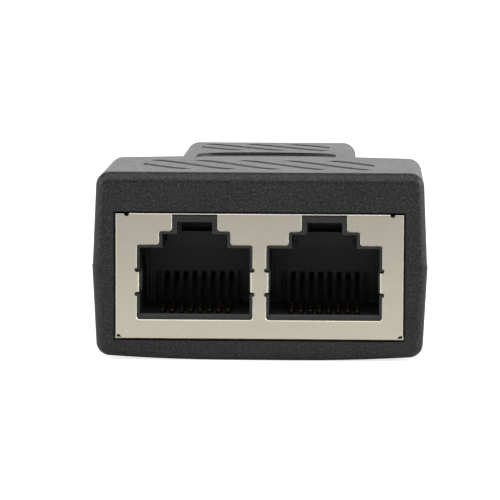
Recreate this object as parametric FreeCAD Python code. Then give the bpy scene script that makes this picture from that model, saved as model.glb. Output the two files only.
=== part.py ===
import FreeCAD, Part
import math
import os
from dataclasses import dataclass

# RJ45 splitter adapter: one network line in at the narrow end, two out at the wide end.
# Millimetres, +Z up. The front, with its two ports, faces -Y. The origin is on the ground,
# under the middle of the body.

Vec = FreeCAD.Vector

# The jacks' ports: the plastic opening that the plug enters, latch upwards
port_width = 11.9
port_height = 7.2
port_floor = 2.72            # from the shield's underside up to the lip that the plug slides over
port_depth = 11.8            # from the shield's face to the back wall that stops the plug
port_web = 2.07              # between the openings of the two front ports
latch_width = 7.0            # lower, wide step of the latch way
latch_height = 1.49
catch_width = 3.8            # upper, narrow step, which the latch's shoulders can't pass
catch_height = 1.3
catch_wall = 1.3             # thickness of the wall that the shoulders catch behind
latch_bay_depth = 9.5        # how far the latch way reaches behind the shield's face
stop_drop = 0.75             # how far the block behind the latch hangs below the port's ceiling
stop_width = 6.0
stop_height = 1.65           # of that block, up to the narrow step's floor over it

# The jacks' outside
port_roof = 1.0              # plastic and sheet above the latch way's narrow step
jack_depth = 15.7
front_side_margin = 2.665    # from the outer ports' openings to the shield's outer sides
rear_side_margin = 2.05

# Folded metal shields
sheet = 0.2
bend_radius = 0.25           # outside of the bends round the face
rim = 0.3                    # plastic that shows inside the shield's cut-out
latch_rim = 0.35
catch_rim = 0.55
lip_show = 0.6               # plastic lip that shows below the port
lip_chamfer = 0.2            # lead-in along the lip's front edge
cutout_radius = 0.3
cutout_bevel = 0.08          # rolled-over edge of the punched cut-outs
flange_depth = 3.0           # how far the face's top edge is folded back
flange_relief_place = 1.27   # round notches where the flange ends, from the shield's sides
flange_relief_radius = 0.27
flange_relief_drop = 0.13    # of their centres, and of the face's corners beside them
corner_relief_radius = 0.38  # round notches that free the folds at the face's lower corners
corner_relief_side = 0.3     # their centres, from the shield's sides
corner_relief_rise = 0.15    # and above its underside
corner_relief_depth = 0.6
seam = 0.1                   # between the side walls and the rear flap
tab_height = 2.15            # springs that press on the plug's own shield
tab_rise = 2.4               # from the port's floor up to the tab
tab_length = 4.4
tab_bow = 0.1                # how far the tab bows into the port
tab_bow_place = 2.6
tab_root = 0.2               # how far the strip's root overlaps the face
tab_notch = 0.24             # radius of the notches above and below a tab
tab_slot = 0.4               # room in the plastic behind and around a tab
bend_clearance = 0.1         # between the plastic block and the insides of the folds
leg_width = 1.2
leg_places = (6.2, 12.4)     # behind the face
leg_clearance = 0.15

# Spring contacts
contacts = 8
contact_pitch = 1.016
contact_width = 0.35
contact_thickness = 0.3
contact_slope = 16.0         # degrees, of the sprung part
contact_bend = 0.65          # centre-line radius of the bend behind the lip
contact_corner = 0.5         # centre-line radius where the pin turns up to the board
contact_floor = 1.42         # from the shield's underside up to the contacts' slots
contact_end = 0.5            # how far the sprung end reaches into the comb
pin_stub = 0.9               # how far pins and legs stand out of the board
slot_width = 0.6
slot_front = 0.85            # thickness of the lip in front of the slots
slot_clearance = 0.1         # between the lip and a contact's bend
pin_rows = (1.8, 3.2)        # the two rows of pins, behind the port's back wall

# Contact carriers
carrier_side = 0.35          # from the port's side to the carrier's
carrier_fit = 0.05
comb_slots = 10
comb_depth = 1.1
comb_top = 3.5               # from the port's floor up to the comb's upper end

# Circuit board
board_thickness = 1.6
board_overhang = 0.8         # past the jacks' sides
board_behind = 2.0           # past the front jack's back
board_front_gap = 0.4        # between a shield's flange and the board
board_hole = 0.75
board_fit = 0.1
peg_diameter = 1.6
peg_place = 7.6              # behind the face
peg_fit = 0.05
peg_wall = 0.2               # from a peg to the plastic block's side
peg_shortfall = 0.2          # the pegs end this far below the board's upper face

# Moulded body
body_length = 46.9
face_recess = 0.05           # the shields sit this far behind the body's ends
under_wall = 2.33
over_wall = 4.36
wide_wall = 1.68             # beside the board, at the parting line
narrow_wall = 1.75
shoulder_wall = 4.6          # behind the board's wide part, at the body's sides
shoulder_sweep = 15.0        # degrees, by which the shoulders run back towards the narrow part
board_headroom = 1.1         # over the board, for pins and legs
mouth_gap = 0.14             # dark seam round each shield
mouth_depth = 0.9
parting_height = 10.3
parting_step = 0.06          # the lower half stands out by this much
upper_draft = 2.5            # degrees, of the sides above the parting line
lower_draft = 2.9            # and below it
corner_radius = 1.5
front_radius = 1.15
rear_radius = 1.3
rest_width = 8.0             # flat strip along the underside
underside_crown = 0.5

# Grip grooves and thumb step on top
groove_width = 1.25
groove_floor = 0.6           # width of the grooves' floors, between their sloping sides
groove_depth = 0.25
groove_pitch = 4.94
groove_run = 9.4             # across, from one end of a groove to the other
groove_lead = 2.6            # across, of the gentle lead-in at both ends
groove_lead_fall = 0.9
groove_offset = 2.35         # from the middle to the start of a groove
wide_band_front = 5.1        # from the body's front end
wide_band_length = 12.1
wide_band_width = 25.5
narrow_band_front = 32.9
narrow_band_length = 9.5
narrow_band_width = 15.05
band_shift = 0.42            # both bands sit this far left of the middle
step_front = 20.0            # thumb step: a shallow scoop that ends in a curved riser
step_side = 28.2             # the riser, beside its rounded corners
step_middle = 29.7           # the riser's middle
step_width = 15.9
step_corner = 2.8            # radius of the riser's corners, seen from above
step_depth = 0.36
step_lean = 12.0             # degrees, of the riser

# How far cuts run past the faces that they cut
past = 1.0

# Sizes that follow
port_ceiling = port_floor + port_height
latch_ceiling = port_ceiling + latch_height
catch_ceiling = latch_ceiling + catch_height
jack_height = catch_ceiling + port_roof
port_pitch = port_width + port_web
front_width = port_pitch + port_width + 2 * front_side_margin
rear_width = port_width + 2 * rear_side_margin
body_height = under_wall + jack_height + over_wall
wide_half = front_width / 2 + board_overhang + wide_wall
narrow_half = rear_width / 2 + board_overhang + narrow_wall
wide_length = face_recess + jack_depth + board_behind + shoulder_wall
front_end = -body_length / 2
rear_end = body_length / 2
shoulder_side = front_end + wide_length
stop_floor = port_ceiling - stop_drop
board_top = jack_height + board_thickness
pin_top = board_top + pin_stub
board_start = flange_depth + board_front_gap


@dataclass(frozen=True)
class Jack:
    """One shielded jack, with its ports and its place in the body."""
    name: str
    width: float
    port_names: tuple
    faces_rear: bool

    def ports(self):
        """Middle of each port, across the jack."""
        first = -port_pitch * (len(self.port_names) - 1) / 2
        return [first + port_pitch * i for i in range(len(self.port_names))]

    def place(self, shape):
        """Move a shape from the jack's own frame, with Y going into the port, to the body's."""
        if self.faces_rear:
            shape.rotate(Vec(0, 0, 0), Vec(0, 0, 1), 180)
            shape.translate(Vec(0, rear_end - face_recess, under_wall))
        else:
            shape.translate(Vec(0, front_end + face_recess, under_wall))
        return shape


front_jack = Jack("front", front_width, ("front_left", "front_right"), False)
rear_jack = Jack("rear", rear_width, ("rear",), True)
jacks = (front_jack, rear_jack)


def block(x0, x1, y0, y1, z0, z1):
    """Box between two corners."""
    return Part.makeBox(x1 - x0, y1 - y0, z1 - z0, Vec(x0, y0, z0))


def middle_block(width, y0, y1, z0, z1, x=0.0):
    """Box of a width, in the middle or about x."""
    return block(x - width / 2, x + width / 2, y0, y1, z0, z1)


def fuse(shapes):
    """Join shapes into one solid and drop the seams between flush faces."""
    return single(shapes[0].fuse(shapes[1:]).removeSplitter())


def single(shape):
    """The one solid of a shape, or the shape as it is if it has several."""
    return shape.Solids[0] if len(shape.Solids) == 1 else shape


def prism(points, direction):
    """Closed outline of straight runs, extruded."""
    outline = Part.makePolygon([Vec(*p) for p in points] + [Vec(*points[0])])
    return Part.Face(outline).extrude(Vec(*direction))


def edges_where(shape, test):
    """Edges whose ends and middle all pass a test."""
    found = []
    for edge in shape.Edges:
        first, last = edge.ParameterRange
        points = [edge.valueAt(first), edge.valueAt((first + last) / 2), edge.valueAt(last)]
        if all(test(p) for p in points):
            found.append(edge)
    return found


def near(a, b):
    """Same place, within a thousandth."""
    return abs(a - b) < 0.001


def contact_places(port):
    """Middle of each contact of a port, across the jack."""
    first = port - contact_pitch * (contacts - 1) / 2
    return [first + contact_pitch * i for i in range(contacts)]


def pin_row(index):
    """How far behind the face the pin of a contact stands, in one of two rows."""
    return port_depth + pin_rows[index % len(pin_rows)]


# Shields

def shield_cutout(port):
    """Stepped opening in a shield's face, with rounded corners."""
    y0, y1 = -past, sheet + past
    main = middle_block(port_width + 2 * rim, y0, y1, port_floor - lip_show, port_ceiling + rim, port)
    latch = middle_block(latch_width + 2 * latch_rim, y0, y1, port_ceiling, latch_ceiling + rim, port)
    catch = middle_block(catch_width + 2 * catch_rim, y0, y1, latch_ceiling, jack_height - sheet, port)
    opening = fuse([main, latch, catch])
    below_flange = edges_where(opening, lambda p: p.z < jack_height - sheet - cutout_radius)
    corners = [e for e in below_flange if near(e.CenterOfMass.y, (y0 + y1) / 2)]
    corners = [e for e in corners if near(e.Length, y1 - y0)]
    return opening.makeFillet(cutout_radius, corners)


def cutout_edge(opening):
    """Bevel round a cut-out, where the punch rolled the sheet's edge over."""
    inner = opening.slice(Vec(0, 1, 0), cutout_bevel)[0]
    outer = inner.makeOffset2D(cutout_bevel)
    outer.translate(Vec(0, -cutout_bevel, 0))
    return Part.makeLoft([outer, inner], True, True)


def spring_tab(port, side):
    """Strip folded from the edge of a cut-out back into the port, bowed towards the plug."""
    edge = port_width / 2 + rim
    inner = port_width / 2 + sheet / 2
    fold = edge - inner
    floor = port_floor + tab_rise

    def place(x, y):
        return Vec(port + side * x, y, floor)

    root = place(edge + tab_root, sheet / 2)
    fold_start = place(edge, sheet / 2)
    half_way = fold * math.sin(math.pi / 4)
    fold_middle = place(edge - half_way, sheet / 2 + fold - half_way)
    fold_end = place(inner, sheet / 2 + fold)
    edges = [
        Part.makeLine(root, fold_start),
        Part.Arc(fold_start, fold_middle, fold_end).toShape(),
        Part.Arc(fold_end, place(inner - tab_bow, tab_bow_place), place(inner, tab_length)).toShape(),
    ]
    profile = Part.makePolygon([
        root + Vec(0, -sheet / 2, 0),
        root + Vec(0, sheet / 2, 0),
        root + Vec(0, sheet / 2, tab_height),
        root + Vec(0, -sheet / 2, tab_height),
        root + Vec(0, -sheet / 2, 0),
    ])
    pipe = Part.BRepOffsetAPI.MakePipeShell(Part.Wire(edges))
    pipe.setFrenetMode(False)
    pipe.setTransitionMode(1)
    pipe.add(profile)
    pipe.build()
    pipe.makeSolid()
    return pipe.shape()


def round_notch(x, z, radius, depth):
    """Round notch through the face, from in front of it to a depth behind it."""
    return Part.makeCylinder(radius, depth + past, Vec(x, -past, z), Vec(0, 1, 0))


def tab_notches(port, side):
    """Notches in the face above and below a tab, so that it can be folded."""
    x = port + side * (port_width / 2 + rim)
    floor = port_floor + tab_rise
    heights = (floor - tab_notch, floor + tab_height + tab_notch)
    return [round_notch(x, z, tab_notch, 2 * sheet) for z in heights]


def make_shield(jack):
    """Face, sides, bottom, top flange and rear flap, folded from one sheet."""
    half = jack.width / 2
    outer = block(-half, half, 0, jack_depth, 0, jack_height)
    outer = outer.makeFillet(bend_radius, edges_where(outer, lambda p: near(p.y, 0)))
    inner = block(-half + sheet, half - sheet, sheet, jack_depth - sheet, sheet, jack_height - sheet)
    inner = inner.makeFillet(bend_radius - sheet, edges_where(inner, lambda p: near(p.y, sheet)))
    shell = outer.cut(inner)

    rear, above = jack_depth + past, jack_height + past
    open_top = middle_block(jack.width + 2 * past, flange_depth, rear, jack_height - sheet, above)
    cuts = [open_top]
    flap = jack_depth - sheet - seam
    for side in (-1, 1):
        x0, x1 = sorted((side * (half - sheet), side * (half + past)))
        cuts.append(block(x0, x1, flap, rear, -past, above))
        relief_x = side * (half - flange_relief_place)
        relief_z = jack_height - flange_relief_drop
        cuts.append(round_notch(relief_x, relief_z, flange_relief_radius, flange_depth))
        x0, x1 = sorted((relief_x, side * (half + past)))
        cuts.append(block(x0, x1, -past, sheet, relief_z, above))
        cuts.append(block(x0, x1, sheet, flange_depth + past, jack_height - sheet, above))
        corner_x = side * (half - corner_relief_side)
        cuts.append(round_notch(corner_x, corner_relief_rise, corner_relief_radius, corner_relief_depth))
    for port in jack.ports():
        opening = shield_cutout(port)
        cuts += [opening, cutout_edge(opening)]
        for side in (-1, 1):
            cuts += tab_notches(port, side)
    shell = shell.cut(cuts)

    added = [spring_tab(port, side) for port in jack.ports() for side in (-1, 1)]
    for side in (-1, 1):
        for place in leg_places:
            x0, x1 = sorted((side * (half - sheet), side * half))
            y0 = place - leg_width / 2
            added.append(block(x0, x1, y0, y0 + leg_width, jack_height - 2 * sheet, pin_top))
    return fuse([shell] + added)


# Plastic blocks

def port_cavity(port):
    """Room for the plug and its latch, open at the face."""
    face = sheet - past
    plug = middle_block(port_width, face, port_depth, port_floor, port_ceiling, port)
    latch = middle_block(latch_width, face, latch_bay_depth, port_floor, latch_ceiling, port)
    catch = middle_block(catch_width, face, port_depth, port_floor, catch_ceiling, port)
    bay_front = sheet + catch_wall
    bay = middle_block(latch_width, bay_front, latch_bay_depth, port_floor, catch_ceiling, port)
    stop_top = stop_floor + stop_height
    stop = middle_block(stop_width, latch_bay_depth, port_depth, stop_floor, stop_top, port)
    return fuse([plug, latch, catch, bay]).cut(stop)


def lip_lead_in(port):
    """Chamfer along the front edge of the lip that the plug slides over."""
    x = port - port_width / 2
    outline = [
        (x, sheet - past, port_floor - lip_chamfer - past),
        (x, sheet + lip_chamfer + past, port_floor + past),
        (x, sheet - past, port_floor + past),
    ]
    return prism(outline, (port_width, 0, 0))


def carrier_pocket(port, fit):
    """Room for a contact carrier behind the port, open to the board and to the back."""
    width = port_width - 2 * carrier_side + 2 * fit
    return middle_block(width, port_depth, jack_depth - sheet, contact_floor, jack_height, port)


def make_housing(jack):
    """Block behind the shield's face, with port cavities, slots for contacts and pegs."""
    half = jack.width / 2 - sheet
    body = block(-half, half, sheet, jack_depth - sheet, sheet, jack_height - sheet)
    face_edges = edges_where(body, lambda p: near(p.y, sheet))
    body = body.makeChamfer(bend_radius - sheet + bend_clearance, face_edges)
    seat = block(-half, half, board_start, jack_depth - sheet, jack_height - 2 * sheet, jack_height)
    body = fuse([body, seat])
    cuts = []
    for port in jack.ports():
        cuts.append(port_cavity(port))
        cuts.append(lip_lead_in(port))
        cuts.append(carrier_pocket(port, carrier_fit))
        for x in contact_places(port):
            y0 = sheet + slot_front
            cuts.append(middle_block(slot_width, y0, port_depth + past, contact_floor, port_floor + past, x))
        for side in (-1, 1):
            inner = port_width / 2 - sheet
            outer = port_width / 2 + tab_slot
            x0, x1 = sorted((port + side * inner, port + side * outer))
            z0 = port_floor + tab_rise - tab_slot / 2
            cuts.append(block(x0, x1, sheet - past, tab_length + tab_slot, z0, z0 + tab_height + tab_slot))
    body = body.cut(cuts)
    pegs = []
    for place in peg_positions(jack):
        height = board_thickness - peg_shortfall
        peg = Part.makeCylinder(peg_diameter / 2, sheet + height, Vec(place, peg_place, jack_height - sheet))
        pegs.append(peg)
    return fuse([body] + pegs)


def peg_positions(jack):
    """Pegs stand over the side walls of the outer ports."""
    inset = jack.width / 2 - sheet - peg_diameter / 2 - peg_wall
    return (-inset, inset)


def make_carrier(port):
    """Insert that closes the port's back, with the comb and the pins' holes."""
    body = carrier_pocket(port, 0.0)
    first = port - contact_pitch * (comb_slots - 1) / 2
    cuts = []
    for i in range(comb_slots):
        x = first + contact_pitch * i
        top = port_floor + comb_top
        cuts.append(middle_block(slot_width, port_depth - past, port_depth + comb_depth, port_floor, top, x))
    front = port_depth - past
    below = contact_floor - past
    tunnel_top = contact_floor + contact_thickness + contact_corner
    for i, x in enumerate(contact_places(port)):
        pin_front = pin_row(i) - slot_width / 2
        pin_back = pin_row(i) + slot_width / 2
        cuts.append(middle_block(slot_width, front, port_depth + comb_depth, below, port_floor + past, x))
        cuts.append(middle_block(slot_width, front, pin_back, below, tunnel_top, x))
        cuts.append(middle_block(slot_width, pin_front, pin_back, below, jack_height + past, x))
    return body.cut(cuts)


def make_contact(x, index):
    """Bent wire: sprung end, bend behind the lip, run along the floor, pin up to the board."""
    run = contact_floor + contact_thickness / 2
    slope = math.radians(contact_slope)
    bend_y = sheet + slot_front + slot_clearance + contact_thickness / 2 + contact_bend
    bend_z = run + contact_bend
    pin_y = pin_row(index)
    leave = Vec(x, bend_y - contact_bend * math.sin(slope), bend_z + contact_bend * math.cos(slope))
    end_y = port_depth + contact_end
    end = Vec(x, end_y, leave.z + (end_y - leave.y) * math.tan(slope))
    low = Vec(x, bend_y, run)
    turn = Vec(x, pin_y - contact_corner, run)
    rise = Vec(x, pin_y, run + contact_corner)
    top = Vec(x, pin_y, pin_top)
    corner_middle = Vec(
        x,
        turn.y + contact_corner * math.sin(math.pi / 4),
        rise.z - contact_corner * math.cos(math.pi / 4),
    )
    path = Part.Wire([
        Part.makeLine(top, rise),
        Part.Arc(rise, corner_middle, turn).toShape(),
        Part.makeLine(turn, low),
        Part.Arc(low, Vec(x, bend_y - contact_bend, bend_z), leave).toShape(),
        Part.makeLine(leave, end),
    ])
    w, t = contact_width / 2, contact_thickness / 2
    corners = [(-w, -t), (w, -t), (w, t), (-w, t), (-w, -t)]
    profile = Part.makePolygon([top + Vec(a, b, 0) for a, b in corners])
    return path.makePipe(Part.Face(profile))


# Circuit board

def board_outline(fit, z0, z1):
    """T-shaped plate under both jacks' pins, in the body's frame."""
    front = front_end + face_recess + board_start - fit
    back = rear_end - face_recess - board_start + fit
    step = front_end + face_recess + jack_depth + board_behind + fit
    wide = middle_block(front_width + 2 * board_overhang + 2 * fit, front, step, z0, z1)
    narrow = middle_block(rear_width + 2 * board_overhang + 2 * fit, front, back, z0, z1)
    return fuse([wide, narrow])


def board_cuts(jack):
    """Holes for a jack's pins and pegs, and slots for its shield's legs, in the jack's frame."""
    z = jack_height - past
    height = board_thickness + 2 * past
    cuts = []
    for port in jack.ports():
        for i, x in enumerate(contact_places(port)):
            cuts.append(Part.makeCylinder(board_hole / 2, height, Vec(x, pin_row(i), z)))
    for x in peg_positions(jack):
        cuts.append(Part.makeCylinder(peg_diameter / 2 + peg_fit, height, Vec(x, peg_place, z)))
    for side in (-1, 1):
        for place in leg_places:
            x = side * (jack.width / 2 - sheet / 2)
            length = leg_width / 2 + leg_clearance
            slot = middle_block(sheet + 2 * leg_clearance, place - length, place + length, z, z + height, x)
            cuts.append(slot)
    return cuts


def make_board():
    """Board with all its holes."""
    z0 = under_wall + jack_height
    board = board_outline(0.0, z0, z0 + board_thickness)
    cuts = [jack.place(cut) for jack in jacks for cut in board_cuts(jack)]
    return board.cut(cuts)


# Moulded body

def upper_form(half, plan):
    """Upper half of a block over a plan, with drafted sides and rounded edges."""
    slope = math.tan(math.radians(upper_draft))
    below = parting_height - 2 * corner_radius
    low_half = half + slope * (parting_height - below)
    high_half = half - slope * (body_height - parting_height)
    y0, y1 = plan.reach()
    outline = [
        (-low_half, y0, below),
        (low_half, y0, below),
        (high_half, y0, body_height),
        (-high_half, y0, body_height),
    ]
    form = plan.trim(prism(outline, (0, y1 - y0, 0)))
    form = round_form(form, plan, below, body_height)
    return form.common(middle_block(4 * half, y0 - past, y1 + past, parting_height, body_height + past))


def lower_form(half, plan):
    """Lower half, a little wider, with a flat strip under its middle and a crown beside it."""
    half = half + parting_step
    slope = math.tan(math.radians(lower_draft))
    above = parting_height + 2 * corner_radius
    high_half = half + slope * (above - parting_height)
    low_half = half - slope * parting_height
    rest = rest_width / 2
    crown_middle_x = (rest + low_half) / 2
    crown_radius = ((low_half - rest) ** 2 + underside_crown ** 2) / (2 * underside_crown)
    crown_middle_z = crown_radius - math.sqrt(crown_radius ** 2 - (crown_middle_x - rest) ** 2)
    y0, y1 = plan.reach()
    right = [Vec(rest, y0, 0), Vec(crown_middle_x, y0, crown_middle_z), Vec(low_half, y0, underside_crown)]
    left = [Vec(-p.x, p.y, p.z) for p in reversed(right)]
    edges = [
        Part.makeLine(left[2], right[0]),
        Part.Arc(*right).toShape(),
        Part.makeLine(right[2], Vec(high_half, y0, above)),
        Part.makeLine(Vec(high_half, y0, above), Vec(-high_half, y0, above)),
        Part.makeLine(Vec(-high_half, y0, above), left[0]),
        Part.Arc(*left).toShape(),
    ]
    form = plan.trim(Part.Face(Part.Wire(edges)).extrude(Vec(0, y1 - y0, 0)))
    form = round_form(form, plan, above, 0)
    return form.common(middle_block(4 * half, y0 - past, y1 + past, -past, parting_height))


@dataclass(frozen=True)
class Plan:
    """Where a block begins and ends. Its rear may sweep back, from its sides to its middle part."""
    front: float
    rear: float
    side: float = 0.0
    middle: float = 0.0
    sweep: float = 0.0

    def rear_at(self, x):
        """Rear end at a place across the block."""
        inward = self.side - max(abs(x), self.middle)
        return self.rear + inward * math.tan(math.radians(self.sweep))

    def reach(self):
        """Foremost and rearmost places."""
        return self.front, self.rear_at(0)

    def trim(self, form):
        """Cut a block off along the plan's rear."""
        if not self.sweep:
            return form
        z = -body_height
        beyond = self.rear_at(0) + past
        cuts = []
        for side in (-1, 1):
            outer = 2 * self.side
            outline = [
                (side * self.middle, self.rear_at(self.middle), z),
                (side * outer, self.rear_at(outer), z),
                (side * outer, beyond, z),
                (side * self.middle, beyond, z),
            ]
            cuts.append(prism(outline, (0, 0, 3 * body_height)))
        return form.cut(cuts)


def round_form(form, plan, open_z, closed_z):
    """Round the long edges away from the parting line, then both ends."""
    long_edges = edges_where(form, lambda p: abs(p.z - closed_z) < corner_radius)
    long_edges = [e for e in long_edges if near(e.BoundBox.XLength, 0)]
    outer = max(abs(e.CenterOfMass.x) for e in long_edges)
    form = form.makeFillet(corner_radius, [e for e in long_edges if near(abs(e.CenterOfMass.x), outer)])
    front = edges_where(form, lambda p: near(p.y, plan.front))
    form = form.makeFillet(front_radius, [e for e in front if not near(e.CenterOfMass.z, open_z)])
    rear = edges_where(form, lambda p: near(p.y, plan.rear_at(p.x)))
    return form.makeFillet(rear_radius, [e for e in rear if not near(e.CenterOfMass.z, open_z)])


def groove(start_x, start_y, fall):
    """One S-shaped grip groove with sloping sides, running right and towards the front."""
    points = [
        Vec(0, 0, 0),
        Vec(groove_lead, -groove_lead_fall, 0),
        Vec(groove_run - groove_lead, groove_lead_fall - fall, 0),
        Vec(groove_run, -fall, 0),
    ]
    length = math.hypot(groove_run, fall)
    across = Vec(fall / length, groove_run / length, 0)
    outlines = []
    for half, height in ((groove_floor / 2, -groove_depth), (groove_width - groove_floor / 2, groove_depth)):
        start = Vec(start_x, start_y, body_height + height)
        sides = []
        for sign in (-1, 1):
            curve = Part.BezierCurve()
            curve.setPoles([start + p + across * (sign * half) for p in points])
            sides.append(curve.toShape())
        ends = [Part.makeLine(sides[0].valueAt(t), sides[1].valueAt(t)) for t in (0.0, 1.0)]
        outlines.append(Part.Wire(Part.__sortEdges__(sides + ends)))
    return Part.makeLoft(outlines, True, True)


def groove_band(width, front, length):
    """Grooves side by side, cut off at the band's sides."""
    start_y = front_end + front + length
    left = -band_shift - width / 2
    right = left + width
    top = body_height + 2 * past
    band = block(left, right, start_y - length - past, start_y + past, body_height - past, top)
    first = math.ceil((left - groove_run - groove_offset) / groove_pitch)
    last = math.floor((right - groove_offset) / groove_pitch)
    found = []
    for i in range(first, last + 1):
        piece = groove(groove_offset + groove_pitch * i, start_y, length).common(band)
        if piece.Volume > groove_depth * groove_width:
            found.append(piece)
    return found


def thumb_step():
    """Scoop that slopes down towards the rear and ends in a curved, leaning riser."""
    half = step_width / 2
    front = front_end + step_front
    side = front_end + step_side
    middle = front_end + step_middle
    z0 = body_height - step_depth
    edges = [
        Part.makeLine(Vec(-half, side, z0), Vec(-half, front, z0)),
        Part.makeLine(Vec(-half, front, z0), Vec(half, front, z0)),
        Part.makeLine(Vec(half, front, z0), Vec(half, side, z0)),
        Part.Arc(Vec(half, side, z0), Vec(0, middle, z0), Vec(-half, side, z0)).toShape(),
    ]
    region = Part.Face(Part.Wire(edges)).extrude(Vec(0, 0, 2 * step_depth))
    corners = [e for e in edges_where(region, lambda p: near(p.y, side)) if e.BoundBox.ZLength > step_depth]
    outline = region.makeFillet(step_corner, corners).slice(Vec(0, 0, 1), body_height)[0]
    outlines = []
    for share in (-2, 1):
        moved = outline.makeOffset2D(share * step_depth * math.tan(math.radians(step_lean)))
        moved.translate(Vec(0, 0, share * step_depth))
        outlines.append(moved)
    slope = step_depth / (middle - front)
    beyond = middle + past
    top = body_height + past
    above = [
        (-half - past, front, body_height),
        (-half - past, beyond, body_height - slope * (beyond - front)),
        (-half - past, beyond, top),
        (-half - past, front, top),
    ]
    return Part.makeLoft(outlines, True, True).common(prism(above, (step_width + 2 * past, 0, 0)))


def make_body():
    """T-shaped body moulded over the jacks and the board."""
    wide = Plan(front_end, shoulder_side, wide_half, narrow_half - narrow_wall, shoulder_sweep)
    narrow = Plan(shoulder_side - shoulder_wall, rear_end)
    form = fuse([
        fuse([lower_form(half, plan), upper_form(half, plan)])
        for half, plan in ((wide_half, wide), (narrow_half, narrow))
    ])

    board_floor = under_wall + jack_height
    cuts = [board_outline(board_fit, board_floor, board_floor + board_thickness + board_headroom)]
    for jack in jacks:
        room = middle_block(jack.width, -past, jack_depth, 0, jack_height)
        mouth = middle_block(
            jack.width + 2 * mouth_gap, -past, mouth_depth - face_recess, -mouth_gap, jack_height + mouth_gap)
        cuts += [jack.place(room), jack.place(mouth)]
    cuts += groove_band(wide_band_width, wide_band_front, wide_band_length)
    cuts += groove_band(narrow_band_width, narrow_band_front, narrow_band_length)
    cuts.append(thumb_step())
    return form.cut(cuts)


def build():
    """All pieces, by name."""
    pieces = {"overmould_body": make_body(), "circuit_board": make_board()}
    for jack in jacks:
        pieces[jack.name + "_shield"] = jack.place(make_shield(jack))
        pieces[jack.name + "_housing"] = jack.place(make_housing(jack))
        for port_name, port in zip(jack.port_names, jack.ports()):
            pieces[port_name + "_carrier"] = jack.place(make_carrier(port))
            for i, x in enumerate(contact_places(port)):
                pieces[port_name + "_contact_" + str(i + 1)] = jack.place(make_contact(x, i))
    return pieces


def main():
    """Write each piece as a STEP file."""
    os.makedirs("parts", exist_ok=True)
    for name, shape in build().items():
        print(name, "solids", len(shape.Solids), "valid", shape.isValid(), "volume", round(shape.Volume, 2))
        single(shape).exportStep("parts/" + name + ".step")


main()
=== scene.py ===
"""Looks of a T-shaped network splitter adapter, dressed round its fixed solids.

Metres, +Z up, in the frame of the solids: the two-port end faces -Y.
"""
import logging
import math
from collections.abc import Callable, Iterable
from dataclasses import dataclass, field
from enum import Enum

import bpy
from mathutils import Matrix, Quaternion, Vector


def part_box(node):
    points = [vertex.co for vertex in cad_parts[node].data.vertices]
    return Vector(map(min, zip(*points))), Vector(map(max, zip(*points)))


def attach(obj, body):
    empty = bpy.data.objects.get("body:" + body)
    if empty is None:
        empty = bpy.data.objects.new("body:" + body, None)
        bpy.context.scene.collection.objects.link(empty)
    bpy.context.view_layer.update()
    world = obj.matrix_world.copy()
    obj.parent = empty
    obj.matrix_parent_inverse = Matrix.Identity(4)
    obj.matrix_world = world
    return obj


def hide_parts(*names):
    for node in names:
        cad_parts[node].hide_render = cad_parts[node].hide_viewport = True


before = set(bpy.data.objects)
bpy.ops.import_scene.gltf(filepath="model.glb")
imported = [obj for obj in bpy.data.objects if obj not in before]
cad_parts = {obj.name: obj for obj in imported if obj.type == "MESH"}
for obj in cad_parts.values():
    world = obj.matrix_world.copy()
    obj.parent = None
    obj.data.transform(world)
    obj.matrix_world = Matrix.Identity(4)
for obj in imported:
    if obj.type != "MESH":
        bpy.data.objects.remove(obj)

LOG = logging.getLogger("splitter_adapter")
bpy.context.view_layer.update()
MM = 0.001

# Sockets of a Mix node, which has a set for each kind of value
MIX_NUMBERS = (2, 3)
MIX_COLOURS = (6, 7)
MIX_COLOUR_OUT = 2

# Where most of a noise's values lie
NOISE_LOW = 0.3
NOISE_HIGH = 0.7

# Moulded grain
CROWN = 0.1                       # distance from a pebble's middle to the end of its crown
GAP = 0.7                         # and to the gap beside it
PEBBLE_SHARE = 0.5                # of the relief; wear makes up the rest
WEAR_SCALE = 0.8                  # wear marks for each pebble
TALL = (0.72, 0.85)               # relief at which a pebble's painted glint begins, and is full

# Rolled sheet
ROLL_STRETCH = (0.12, 1.0, 2.4)   # drawn lines, along X
LINES_TO_RUBS = 3.0               # fineness of the lines against the rubs
RUB_TURN = (0.3, 0.7, 0.4)
RUB_STRETCH = (4.0, 0.3, 1.0)
RUBBED = (0.62, 0.72)             # noise at which a rub begins, and is bright
FLAT = 0.99                       # share of Y in the normal of sheet that faces front or rear

Colour = tuple[float, float, float]
Place = tuple[float, float, float]
Socket = bpy.types.NodeSocket


class Slot(Enum):
    """Names of the material slots."""

    OVERMOULD = "overmould"
    NICKEL = "nickel_plate"
    PLASTIC = "jack_plastic"
    GOLD = "contact_gold"
    LAMINATE = "laminate"


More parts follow.
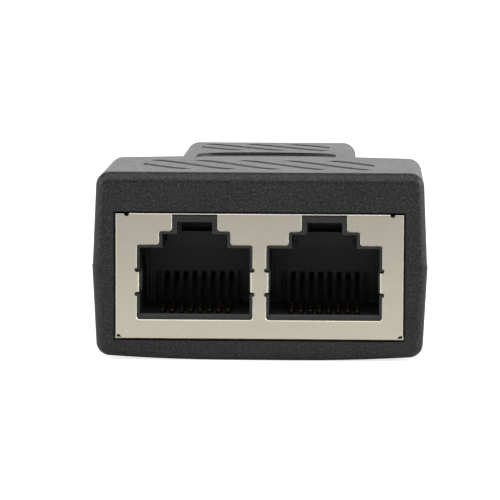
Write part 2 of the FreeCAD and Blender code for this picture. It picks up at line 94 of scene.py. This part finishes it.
class Graph:
    """A node tree that is being wired."""

    def __init__(self, tree: bpy.types.NodeTree) -> None:
        """Take over an empty node tree.

        Args:
            tree: the tree of a material, a world or a node group.
        """
        self.tree = tree

    def add(
        self, kind: str, inputs: dict[str | int, object] | None = None, **settings: object
    ) -> bpy.types.Node:
        """Add a node, set it up and fill or wire its inputs.

        Args:
            kind: the node's type.
            inputs: values or output sockets, by input name or number.
            **settings: the node's own properties.

        Returns:
            The new node.
        """
        node = self.tree.nodes.new(kind)
        for name, value in settings.items():
            setattr(node, name, value)
        for key, value in (inputs or {}).items():
            socket = node.inputs[key]
            if isinstance(value, bpy.types.NodeSocket):
                self.tree.links.new(value, socket)
            else:
                socket.default_value = value
        return node

    def wire(self, value: Socket, node: bpy.types.Node, name: str) -> None:
        """Wire a socket to a node's input."""
        self.tree.links.new(value, node.inputs[name])

    def math(self, operation: str, a: object, b: object = 0.5) -> Socket:
        """Work out a number from one or two others, and return its socket."""
        return self.add("ShaderNodeMath", {0: a, 1: b}, operation=operation).outputs[0]

    def spread(self, value: object, low: float, high: float, out_low: float, out_high: float) -> Socket:
        """Map a range of values to another, clamped."""
        inputs = {"Value": value, "From Min": low, "From Max": high, "To Min": out_low, "To Max": out_high}
        return self.add("ShaderNodeMapRange", inputs).outputs["Result"]

    def stretch(self, value: object, low: float = NOISE_LOW, high: float = NOISE_HIGH) -> Socket:
        """Stretch a range of values to 0 to 1, clamped."""
        return self.spread(value, low, high, 0.0, 1.0)

    def mix(self, share: object, first: object, second: object) -> Socket:
        """Mix two numbers by the second one's share, and return its socket."""
        return self.add("ShaderNodeMix", {0: share, **dict(zip(MIX_NUMBERS, (first, second)))}).outputs[0]

    def blend(self, share: object, first: Colour | Socket, second: Colour | Socket) -> Socket:
        """Mix two colours.

        Args:
            share: how much of the second colour shows.
            first: colour, or a socket that gives one.
            second: colour, or a socket that gives one.

        Returns:
            The socket of the mixed colour.
        """
        ends = [(*end, 1.0) if isinstance(end, tuple) else end for end in (first, second)]
        node = self.add("ShaderNodeMix", {0: share}, data_type="RGBA")
        for key, end in zip(MIX_COLOURS, ends):
            if isinstance(end, bpy.types.NodeSocket):
                self.tree.links.new(end, node.inputs[key])
            else:
                node.inputs[key].default_value = end
        return node.outputs[MIX_COLOUR_OUT]

    def coordinate(self, kind: str = "Object", axis: str | None = None) -> Socket:
        """Place or normal on the object, whole or along one axis."""
        whole = self.add("ShaderNodeTexCoord").outputs[kind]
        return self.add("ShaderNodeSeparateXYZ", {0: whole}).outputs[axis] if axis else whole


def new_group(name: str, scale: float, outputs: Iterable[str]) -> tuple[Graph, Socket, bpy.types.Node]:
    """Start a shader node group with one input, Scale.

    Args:
        name: the group's name.
        scale: the input's usual value.
        outputs: names of the values that it gives.

    Returns:
        The group's graph, its Scale and its output node.
    """
    tree = bpy.data.node_groups.new(name, "ShaderNodeTree")
    tree.interface.new_socket("Scale", in_out="INPUT", socket_type="NodeSocketFloat").default_value = scale
    for label in outputs:
        tree.interface.new_socket(label, in_out="OUTPUT", socket_type="NodeSocketFloat")
    graph = Graph(tree)
    return graph, graph.add("NodeGroupInput").outputs["Scale"], graph.add("NodeGroupOutput")


def pebble_group() -> bpy.types.NodeTree:
    """Eroded grain of a moulded surface: rounded pebbles, worn unevenly, with painted glints on a few of
    them.

    Returns:
        A group with Scale (pebbles for each metre) in, and Height, Tone and Specks (the mask of the painted
        glints) out.
    """
    graph, scale, out = new_group("pebble_grain", 4000.0, ("Height", "Tone", "Specks"))
    place = graph.coordinate()
    cells = graph.add("ShaderNodeTexVoronoi", {"Vector": place, "Scale": scale}, feature="SMOOTH_F1")
    rounded = graph.spread(cells.outputs["Distance"], CROWN, GAP, PEBBLE_SHARE, 0.0)
    wear_scale = graph.math("MULTIPLY", scale, WEAR_SCALE)
    wear = graph.add("ShaderNodeTexNoise", {"Vector": place, "Detail": 3.0, "Scale": wear_scale})
    worn = graph.spread(wear.outputs["Fac"], NOISE_LOW, NOISE_HIGH, 0.0, 1.0 - PEBBLE_SHARE)
    height = graph.math("ADD", rounded, worn)
    graph.wire(height, out, "Height")
    graph.wire(graph.stretch(height), out, "Tone")
    graph.wire(graph.stretch(height, *TALL), out, "Specks")
    return graph.tree


def cloud_group() -> bpy.types.NodeTree:
    """Slow, uneven tone from handling, flow lines and plating.

    Returns:
        A group with Scale in, and Tone, from 0 to 1, out.
    """
    graph, scale, out = new_group("cloud_tone", 150.0, ("Tone",))
    shape = {"Detail": 4.0, "Roughness": 0.6, "Distortion": 0.6}
    inputs = {"Vector": graph.coordinate(), "Scale": scale, **shape}
    cloud = graph.add("ShaderNodeTexNoise", inputs).outputs["Fac"]
    graph.wire(graph.stretch(cloud), out, "Tone")
    return graph.tree


def rub_group() -> bpy.types.NodeTree:
    """Fine drawn lines and rub marks of rolled, plated sheet.

    Returns:
        A group with Scale in, and Lines and Rubs out, both from 0 to 1.
    """
    graph, scale, out = new_group("sheet_rubs", 900.0, ("Lines", "Rubs"))
    place = graph.coordinate()
    drawn = graph.add("ShaderNodeMapping", {"Vector": place, "Scale": ROLL_STRETCH}).outputs[0]
    finer = graph.math("MULTIPLY", scale, LINES_TO_RUBS)
    rolled = {"Vector": drawn, "Detail": 4.0, "Roughness": 0.65, "Scale": finer}
    lines = graph.add("ShaderNodeTexNoise", rolled)
    slanted = {"Vector": place, "Rotation": RUB_TURN, "Scale": RUB_STRETCH}
    turned = graph.add("ShaderNodeMapping", slanted).outputs[0]
    rubs = graph.add("ShaderNodeTexNoise", {"Vector": turned, "Detail": 2.0, "Scale": scale})
    graph.wire(lines.outputs["Fac"], out, "Lines")
    graph.wire(graph.stretch(rubs.outputs["Fac"], *RUBBED), out, "Rubs")
    return graph.tree


def fold_highlight_group() -> bpy.types.NodeTree:
    """Folds and rolled edges of sheet that faces front or rear, where a highlight is painted.

    Returns:
        A group with Scale (how soon the painted highlight comes, past flat) in, and Folds, from 0 to 1, out.
    """
    graph, scale, out = new_group("fold_painted_highlight", 6.0, ("Folds",))
    along = graph.math("ABSOLUTE", graph.coordinate("Normal", "Y"))
    tilt = graph.math("MULTIPLY", graph.math("SUBTRACT", FLAT, along), scale)
    graph.wire(graph.stretch(tilt, 0.0, 1.0), out, "Folds")
    return graph.tree


GROUPS: dict[str, Callable[[], bpy.types.NodeTree]] = {
    "pebble_grain": pebble_group,
    "cloud_tone": cloud_group,
    "sheet_rubs": rub_group,
    "fold_painted_highlight": fold_highlight_group,
}


def group_node(graph: Graph, name: str, scale: float) -> bpy.types.Node:
    """Place a shared node group, which is built the first time.

    Args:
        graph: the material's graph.
        name: a key of GROUPS.
        scale: the pattern's scale.

    Returns:
        The group's node.
    """
    tree = bpy.data.node_groups.get(name) or GROUPS[name]()
    node = graph.add("ShaderNodeGroup", node_tree=tree)
    node.inputs["Scale"].default_value = scale
    return node


@dataclass(frozen=True)
class Finish:
    """A surface finish; each kind adds its own pattern to the shared start."""

    name: str
    colour: Colour
    roughness: float

    def material(self) -> bpy.types.Material:
        """Return the finish's material, which is built the first time."""
        found = bpy.data.materials.get(self.name)
        if found:
            return found
        made = bpy.data.materials.new(self.name)
        made.use_nodes = True
        made.node_tree.nodes.clear()
        graph = Graph(made.node_tree)
        plain = {"Base Color": (*self.colour, 1.0), "Roughness": self.roughness}
        shader = graph.add("ShaderNodeBsdfPrincipled", plain)
        graph.add("ShaderNodeOutputMaterial", {"Surface": shader.outputs["BSDF"]})
        self.pattern(graph, shader)
        return made

    def pattern(self, graph: Graph, shader: bpy.types.Node) -> None:
        """Add what varies over the surface.

        Args:
            graph: the material's graph.
            shader: its Principled BSDF.
        """

    def bump(self, graph: Graph, shader: bpy.types.Node, height: Socket, distance: float) -> None:
        """Raise the surface.

        Args:
            graph: the material's graph.
            shader: its Principled BSDF.
            height: the relief, from 0 to 1.
            distance: how high 1 stands, in metres.
        """
        relief = graph.add("ShaderNodeBump", {"Height": height, "Distance": distance, "Strength": 1.0})
        graph.wire(relief.outputs["Normal"], shader, "Normal")

    def dress(self, *pieces: bpy.types.Object) -> None:
        """Give pieces this finish alone."""
        for piece in pieces:
            piece.data.materials.clear()
            piece.data.materials.append(self.material())


@dataclass(frozen=True)
class Pebbled(Finish):
    """Moulded plastic with an eroded grain."""

    light: Colour = (0.0235, 0.0235, 0.0255)
    scale: float = 4800.0
    relief: float = 0.02 * MM
    cloud: float = 0.25
    cloud_scale: float = 160.0
    # painted highlight: colour of the glints on the tallest pebbles
    painted_glint: Colour = (0.12, 0.12, 0.12)
    painted_glint_share: float = 0.3
    gloss_swing: float = 0.06
    specular: float = 0.5

    def pattern(self, graph: Graph, shader: bpy.types.Node) -> None:
        """Grain in the relief, the tone and the gloss."""
        grain = group_node(graph, "pebble_grain", self.scale)
        cloud = group_node(graph, "cloud_tone", self.cloud_scale).outputs["Tone"]
        share = graph.mix(self.cloud, grain.outputs["Tone"], cloud)
        # painted highlight: glints painted on the tallest pebbles
        painted_glint_mask = graph.math("MULTIPLY", grain.outputs["Specks"], self.painted_glint_share)
        colour = graph.blend(painted_glint_mask, graph.blend(share, self.colour, self.light), self.painted_glint)
        dull, shiny = self.roughness + self.gloss_swing, self.roughness - self.gloss_swing
        gloss = graph.spread(share, 0.0, 1.0, dull, shiny)
        # ports paint shade inside here; other finishes keep their colour
        colour, gloss = self.inside(graph, colour, gloss)
        graph.wire(colour, shader, "Base Color")
        graph.wire(gloss, shader, "Roughness")
        shader.inputs["Specular IOR Level"].default_value = self.specular
        self.bump(graph, shader, grain.outputs["Height"], self.relief)

    def inside(self, graph: Graph, colour: Socket, gloss: Socket) -> tuple[Socket, Socket]:
        """Return the colour and the gloss as they are, because this finish has no painted shade inside."""
        return colour, gloss


@dataclass(frozen=True)
class PortPlastic(Pebbled):
    """Jack plastic: textured round a port's mouth; down inside it, painted shade darkens it, and it is
    duller.
    """

    # painted shade: the colour down inside a port
    painted_port_shade: Colour = (0.007, 0.007, 0.007)
    deep_roughness: float = 0.52
    mouth: float = 0.5 * MM

    def inside(self, graph: Graph, colour: Socket, gloss: Socket) -> tuple[Socket, Socket]:
        """Paint shade down inside the port, and make it duller.

        Args:
            graph: the material's graph.
            colour: the mouth's colour.
            gloss: the mouth's roughness.

        Returns:
            The colour, with painted shade deep inside, and the roughness everywhere.
        """
        face = -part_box("front_shield")[0].y
        along = graph.math("ABSOLUTE", graph.coordinate(axis="Y"))
        # painted shade: none within the mouth, full from twice its depth behind the face
        share = graph.stretch(graph.math("SUBTRACT", face, along), self.mouth, 2 * self.mouth)
        return graph.blend(share, colour, self.painted_port_shade), graph.mix(share, gloss, self.deep_roughness)


@dataclass(frozen=True)
class PlatedSheet(Finish):
    """Satin plating on rolled metal, warmer where it is thin."""

    thin: Colour = (0.70, 0.64, 0.50)
    relief: float = 0.0015 * MM
    cloud_scale: float = 220.0
    rub_scale: float = 900.0
    rough_swing: float = 0.07
    rub_polish: float = 0.08

    def pattern(self, graph: Graph, shader: bpy.types.Node) -> None:
        """Clouded colour, drawn lines and rub marks."""
        cloud = group_node(graph, "cloud_tone", self.cloud_scale).outputs["Tone"]
        marks = group_node(graph, "sheet_rubs", self.rub_scale)
        colour = self.shade(graph, graph.blend(cloud, self.colour, self.thin))
        graph.wire(colour, shader, "Base Color")
        low, high = self.roughness - self.rough_swing, self.roughness + self.rough_swing
        rough = graph.spread(marks.outputs["Lines"], NOISE_LOW, NOISE_HIGH, low, high)
        polish = graph.math("MULTIPLY", marks.outputs["Rubs"], self.rub_polish)
        graph.wire(graph.math("SUBTRACT", rough, polish), shader, "Roughness")
        shader.inputs["Metallic"].default_value = 1.0
        if self.relief:
            self.bump(graph, shader, marks.outputs["Lines"], self.relief)

    def shade(self, graph: Graph, colour: Socket) -> Socket:
        """Return the colour as it is, because this metal is even."""
        return colour


@dataclass(frozen=True)
class ShieldSheet(PlatedSheet):
    """A jack's shield: painted darker towards its top as painted shade, with painted highlights along its
    folds and cut edges.
    """

    # painted shade: the colour at the shield's top
    top: Colour = (0.56, 0.53, 0.44)
    # painted highlight: the colour on folds and cut edges
    fold_highlight: Colour = (0.86, 0.82, 0.70)
    height: float = 13.7 * MM
    fold_scale: float = 6.0

    def shade(self, graph: Graph, colour: Socket) -> Socket:
        """Grade the colour with painted shade towards the top and painted highlights on the folds.

        Args:
            graph: the material's graph.
            colour: the sheet's colour at its lower edge.

        Returns:
            The colour everywhere.
        """
        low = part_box("front_shield")[0].z
        # painted shade, darker towards the top, over the shield's height
        share = graph.stretch(graph.coordinate(axis="Z"), low, low + self.height)
        folds = group_node(graph, "fold_painted_highlight", self.fold_scale).outputs["Folds"]
        # painted highlight on the folds, over the colour with its painted shade
        return graph.blend(folds, graph.blend(share, colour, self.top), self.fold_highlight)


@dataclass(frozen=True)
class Laminate(Finish):
    """Board under solder mask, with the glass weave just showing."""

    weave: float = 450.0
    relief: float = 0.004 * MM
    cloud: float = 0.5
    cloud_scale: float = 120.0
    pale_share: float = 1.7

    def pattern(self, graph: Graph, shader: bpy.types.Node) -> None:
        """Woven glass below, clouded mask on top."""
        strands = {"Vector": graph.coordinate(), "Scale": self.weave}
        waves = [
            graph.add("ShaderNodeTexWave", strands, bands_direction=axis).outputs["Fac"] for axis in "XY"
        ]
        weave = graph.math("MULTIPLY", *waves)
        cloud = group_node(graph, "cloud_tone", self.cloud_scale).outputs["Tone"]
        pale = tuple(part * self.pale_share for part in self.colour)
        share = graph.mix(self.cloud, weave, cloud)
        graph.wire(graph.blend(share, self.colour, pale), shader, "Base Color")
        self.bump(graph, shader, weave, self.relief)


OVERMOULD = Pebbled(
    "overmould_vinyl",
    colour=(0.001, 0.001, 0.0012),
    roughness=0.32,
    specular=0.42,
)
JACK_PLASTIC = PortPlastic(
    "port_plastic",
    colour=(0.012, 0.012, 0.012),
    roughness=0.42,
    light=(0.020, 0.020, 0.020),
    scale=7000.0,
    relief=0.003 * MM,
    cloud=0.5,
)
NICKEL = ShieldSheet(
    "satin_nickel",
    colour=(0.75, 0.70, 0.57),
    roughness=0.34,
    thin=(0.73, 0.68, 0.545),
)
# painted shade: the contact gold is darkened throughout to stand for the shade it sits in down inside the
# ports
GOLD = PlatedSheet(
    "gold_wire",
    colour=(0.27, 0.22, 0.14),
    roughness=0.30,
    thin=(0.19, 0.16, 0.11),
    relief=0.0,
)
LAMINATE = Laminate("solder_mask", colour=(0.02, 0.16, 0.06), roughness=0.3)


def deselect() -> None:
    """Leave nothing selected."""
    bpy.ops.object.select_all(action="DESELECT")


def take(piece: bpy.types.Object) -> None:
    """Select one piece alone and make it active."""
    deselect()
    piece.select_set(True)
    bpy.context.view_layer.objects.active = piece


def place_in_mesh(piece: bpy.types.Object) -> None:
    """Put a piece's place, turn and scale into its mesh."""
    take(piece)
    bpy.ops.object.transform_apply(location=True, rotation=True, scale=True)


@dataclass
class SpringContact:
    """Bent wire of one contact, whose place comes from the solid that it stands for."""

    width: float = 0.35 * MM
    thickness: float = 0.3 * MM
    slope: float = math.radians(16.0)
    bend: float = 0.65 * MM
    corner: float = 0.5 * MM
    end_from_bend: float = 10.35 * MM
    rounding: float = 0.07 * MM
    rounding_steps: int = 2
    sharp: float = math.radians(60.0)
    smooth: float = math.radians(40.0)
    steps: int = 8
    merge: float = 0.001 * MM

    def build(self, solid: str, faces_rear: bool) -> bpy.types.Object:
        """Model the wire in the place of its solid.

        Args:
            solid: the solid's name.
            faces_rear: whether its port is the one at the stem's end.

        Returns:
            The wire.
        """
        low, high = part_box(solid)
        way = -1.0 if faces_rear else 1.0
        front, back = (high.y, low.y) if faces_rear else (low.y, high.y)
        half = self.thickness / 2
        middle = (low.x + high.x) / 2
        pin = back - way * half
        run = low.z + half
        bend = front + way * (half + self.bend)
        deselect()
        bpy.ops.mesh.primitive_plane_add(size=1.0, location=(middle, pin, high.z))
        piece = bpy.context.object
        piece.name = solid + "_wire"
        piece.scale = (self.width, self.thickness, 1.0)
        place_in_mesh(piece)
        bpy.ops.object.mode_set(mode="EDIT")
        bpy.ops.mesh.select_mode(type="FACE")
        bpy.ops.mesh.select_all(action="SELECT")
        turn = pin - way * self.corner
        self.push(0.0, run + self.corner - high.z)
        self.turn(way * math.pi / 2, (middle, turn, run + self.corner))
        self.push(bend - turn, 0.0)
        self.turn(-way * (math.pi - self.slope), (middle, bend, run + self.bend))
        self.push(way * self.end_from_bend, self.end_from_bend * math.tan(self.slope))
        bpy.ops.mesh.select_all(action="SELECT")
        bpy.ops.mesh.remove_doubles(threshold=self.merge)
        bpy.ops.mesh.normals_make_consistent(inside=False)
        bpy.ops.object.mode_set(mode="OBJECT")
        self.round_edges(piece)
        return piece

    def push(self, y: float, z: float) -> None:
        """Extrude the selected end."""
        bpy.ops.mesh.extrude_region_move(TRANSFORM_OT_translate={"value": (0.0, y, z)})

    def turn(self, angle: float, centre: Place) -> None:
        """Spin the selected end round a centre, about the X axis.

        Args:
            angle: how far it turns, in radians.
            centre: the bend's centre.
        """
        bpy.ops.mesh.spin(
            steps=self.steps, angle=angle, center=centre, axis=(1.0, 0.0, 0.0), use_auto_merge=False
        )

    def round_edges(self, piece: bpy.types.Object) -> None:
        """Soften the wire's long edges."""
        soften = piece.modifiers.new("soften", "BEVEL")
        soften.width = self.rounding
        soften.segments = self.rounding_steps
        soften.angle_limit = self.sharp
        take(piece)
        bpy.ops.object.modifier_apply(modifier=soften.name)
        bpy.ops.object.shade_smooth_by_angle(angle=self.smooth)


@dataclass
class Jack:
    """One shielded jack: its sheet, its plastic and its contacts."""

    name: str
    ports: tuple[str, ...]
    faces_rear: bool
    contacts: int = 8
    spring: SpringContact = field(default_factory=SpringContact)

    def build(self) -> list[bpy.types.Object]:
        """Dress the solids and model the contacts.

        Returns:
            The contacts' wires.
        """
        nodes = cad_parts
        NICKEL.dress(nodes[self.name + "_shield"])
        JACK_PLASTIC.dress(nodes[self.name + "_housing"], *(nodes[port + "_carrier"] for port in self.ports))
        numbers = range(1, self.contacts + 1)
        return [self.make_wire(f"{port}_contact_{number}") for port in self.ports for number in numbers]

    def make_wire(self, solid: str) -> bpy.types.Object:
        """Model one contact and let it stand for its solid.

        Args:
            solid: the solid's name.

        Returns:
            The wire.
        """
        wire = self.spring.build(solid, self.faces_rear)
        GOLD.dress(wire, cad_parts[solid])
        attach(wire, "root")
        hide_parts(solid)
        return wire


@dataclass
class MouldedBody:
    """T-shaped body and the board that it holds."""

    body: str = "overmould_body"
    board: str = "circuit_board"

    def build(self) -> list[bpy.types.Object]:
        """Dress the body and the board.

        Returns:
            No new pieces.
        """
        OVERMOULD.dress(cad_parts[self.body])
        LAMINATE.dress(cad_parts[self.board])
        return []


@dataclass(frozen=True)
class Softbox:
    """Soft square lamp, aimed at a point near the ground."""

    name: str
    place: Place
    size: float
    power: float
    target: Place = (0.0, 0.0, 10.0 * MM)

    def build(self) -> None:
        """Add the lamp."""
        data = bpy.data.lights.new(self.name, "AREA")
        data.shape = "SQUARE"
        data.size = self.size
        data.energy = self.power
        lamp = bpy.data.objects.new(self.name, data)
        bpy.context.scene.collection.objects.link(lamp)
        lamp.location = self.place
        lamp.rotation_mode = "QUATERNION"
        lamp.rotation_quaternion = (Vector(self.target) - Vector(self.place)).to_track_quat("-Z", "Y")


SOFTBOXES = (
    Softbox("top_light", place=(0.0, -0.25, 0.55), size=0.9, power=3.0),
    Softbox("left_light", place=(-0.56, -0.22, 0.2), size=0.6, power=1.6),
    Softbox("right_light", place=(0.56, -0.06, 0.2), size=0.6, power=2.4),
)


@dataclass
class Studio:
    """Pale floor, soft light and the photo's camera."""

    camera_side: float = 11.074 * MM
    camera_distance: float = 362.84 * MM
    camera_height: float = 49.84 * MM
    yaw: float = math.radians(1.908)
    pitch: float = math.radians(5.939)
    roll: float = math.radians(0.2)
    focal_pixels: float = 3391.14
    image_pixels: float = 500.0
    sensor: float = 36.0
    clip_start: float = 10.0 * MM
    fill: float = 0.5
    front_wall: float = 0.31
    back_wall: float = 1.0
    walls_front: float = -0.4
    walls_back: float = 0.2
    walls_top: float = 0.40
    ceiling_start: float = 0.7
    ceiling: float = 0.3
    floor_size: float = 6.0
    floor_drop: float = 0.02 * MM
    floor_colour: Colour = (0.70, 0.70, 0.70)
    floor_lift: float = 0.8

    def build(self) -> list[bpy.types.Object]:
        """Make the world, the lamps, the camera and the floor.

        Returns:
            The floor.
        """
        self.make_world()
        self.make_camera()
        for softbox in SOFTBOXES:
            softbox.build()
        return [self.make_floor()]

    def make_world(self) -> None:
        """White for the camera; for gloss, walls that fade to a dim ceiling; an even fill for the rest."""
        world = bpy.data.worlds.new("studio")
        bpy.context.scene.world = world
        world.use_nodes = True
        world.node_tree.nodes.clear()
        graph = Graph(world.node_tree)
        ahead = graph.coordinate("Generated", "Y")
        wall = graph.spread(ahead, self.walls_front, self.walls_back, self.front_wall, self.back_wall)
        height = graph.coordinate("Generated", "Z")
        up = graph.stretch(height, self.walls_top, self.ceiling_start)
        sky = graph.mix(up, wall, self.ceiling)
        path = graph.add("ShaderNodeLightPath").outputs
        glossy = graph.math("MAXIMUM", path["Is Glossy Ray"], path["Is Transmission Ray"])
        strength = graph.mix(path["Is Camera Ray"], graph.mix(glossy, self.fill, sky), 1.0)
        light = graph.add("ShaderNodeBackground", {"Color": (1.0, 1.0, 1.0, 1.0), "Strength": strength})
        graph.add("ShaderNodeOutputWorld", {"Surface": light.outputs[0]})

    def make_camera(self) -> None:
        """Camera at the photo's angle, set off from the ports' face."""
        data = bpy.data.cameras.new("photo_camera")
        data.sensor_width = self.sensor
        data.lens = self.focal_pixels / self.image_pixels * self.sensor
        data.clip_start = self.clip_start
        camera = bpy.data.objects.new("photo_camera", data)
        bpy.context.scene.collection.objects.link(camera)
        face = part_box("front_shield")[0].y
        camera.location = (self.camera_side, face - self.camera_distance, self.camera_height)
        level = math.cos(self.pitch)
        forward = Vector((-math.sin(self.yaw) * level, math.cos(self.yaw) * level, -math.sin(self.pitch)))
        camera.rotation_mode = "QUATERNION"
        roll = Quaternion((0.0, 0.0, 1.0), self.roll)
        camera.rotation_quaternion = forward.to_track_quat("-Z", "Y") @ roll
        bpy.context.scene.camera = camera

    def make_floor(self) -> bpy.types.Object:
        """Pale floor that shows white and keeps a faint shadow.

        Returns:
            The floor.
        """
        deselect()
        bpy.ops.mesh.primitive_plane_add(size=self.floor_size, location=(0.0, 0.0, -self.floor_drop))
        floor = bpy.context.object
        floor.name = "studio_floor"
        place_in_mesh(floor)
        material = bpy.data.materials.new("pale_floor")
        material.use_nodes = True
        material.node_tree.nodes.clear()
        graph = Graph(material.node_tree)
        paper = graph.add("ShaderNodeBsdfDiffuse", {"Color": (*self.floor_colour, 1.0)})
        path = graph.add("ShaderNodeLightPath").outputs
        seen = graph.math("MULTIPLY", path["Is Camera Ray"], self.floor_lift)
        lift = graph.add("ShaderNodeEmission", {"Color": (1.0, 1.0, 1.0, 1.0), "Strength": seen})
        both = graph.add("ShaderNodeAddShader", {0: paper.outputs[0], 1: lift.outputs[0]})
        graph.add("ShaderNodeOutputMaterial", {"Surface": both.outputs[0]})
        floor.data.materials.append(material)
        return floor


def main() -> None:
    """Build the studio and every sub-assembly, and report each piece."""
    logging.basicConfig(level=logging.INFO, format="%(message)s")
    bpy.context.scene.view_settings.view_transform = "Standard"
    assemblies = (
        Studio(),
        MouldedBody(),
        Jack("front", ("front_left", "front_right"), False),
        Jack("rear", ("rear",), True),
    )
    for assembly in assemblies:
        for piece in assembly.build():
            faces = len(piece.data.polygons)
            LOG.info("%s: %s with %d faces", type(assembly).__name__, piece.name, faces)


if __name__ == "__main__":
    main()
